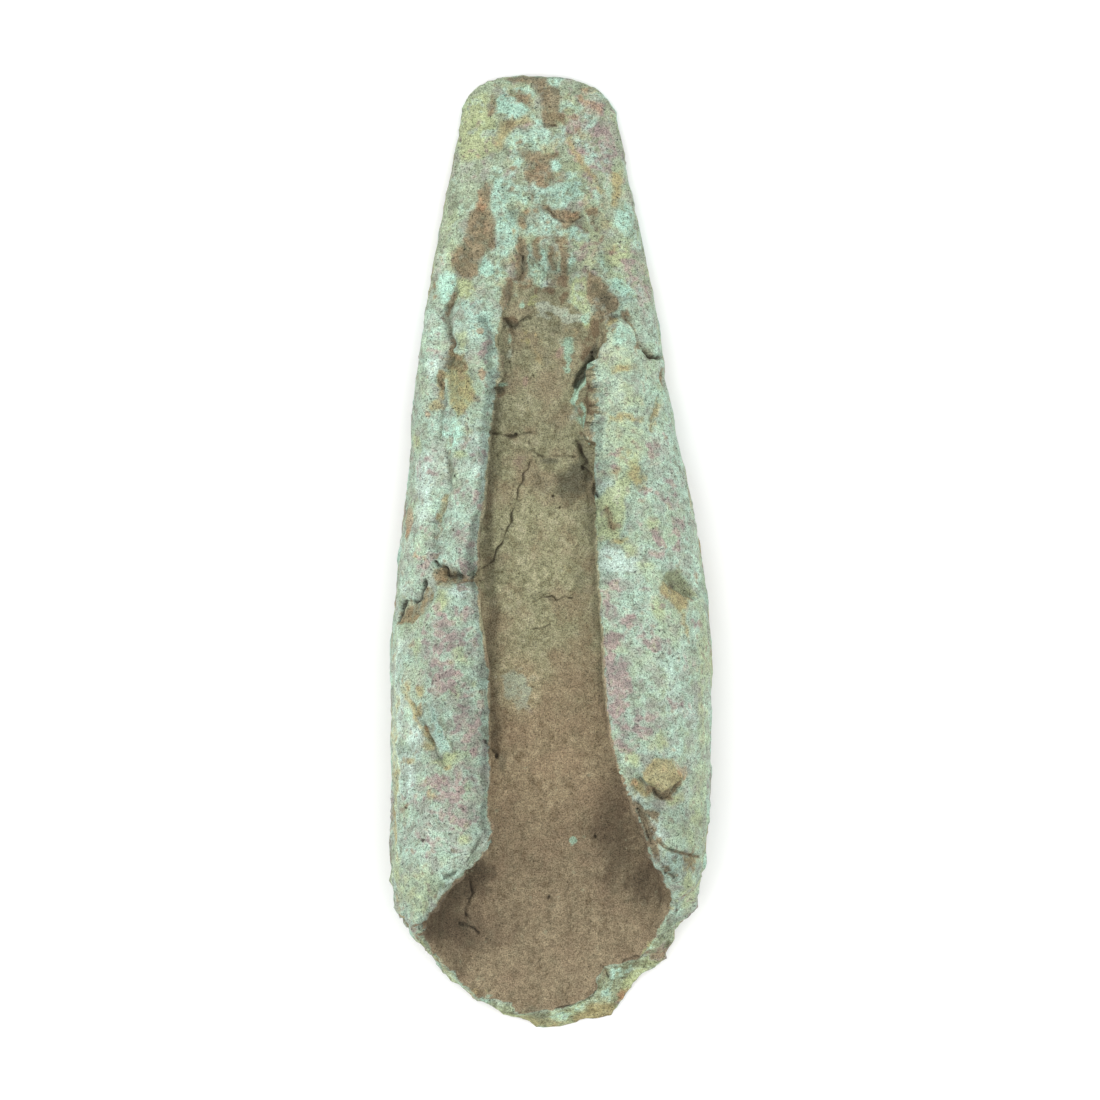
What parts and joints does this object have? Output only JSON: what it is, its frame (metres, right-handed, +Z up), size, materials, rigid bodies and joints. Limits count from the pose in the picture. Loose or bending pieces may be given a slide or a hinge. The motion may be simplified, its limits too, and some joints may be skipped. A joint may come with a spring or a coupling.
{
  "type": "socketed chisel",
  "caption": "Ancient socketed chisel: a flat tapering blade whose sides fold up into an open-slotted socket for a wooden haft, corroded and broken at the mouth.",
  "frame": {"origin": "on the surface the chisel lies on, under the middle of its bounding box", "axes": "+Y towards the cutting edge along the chisel, +X across it, +Z up out of the open slot"},
  "size_m": [0.0474, 0.1402, 0.031],
  "materials": {
    "patinated_bronze": "matt green corrosion over copper alloy"
  },
  "bodies": {
    "root": {"chisel": "patinated_bronze"}
  },
  "joints": []
}
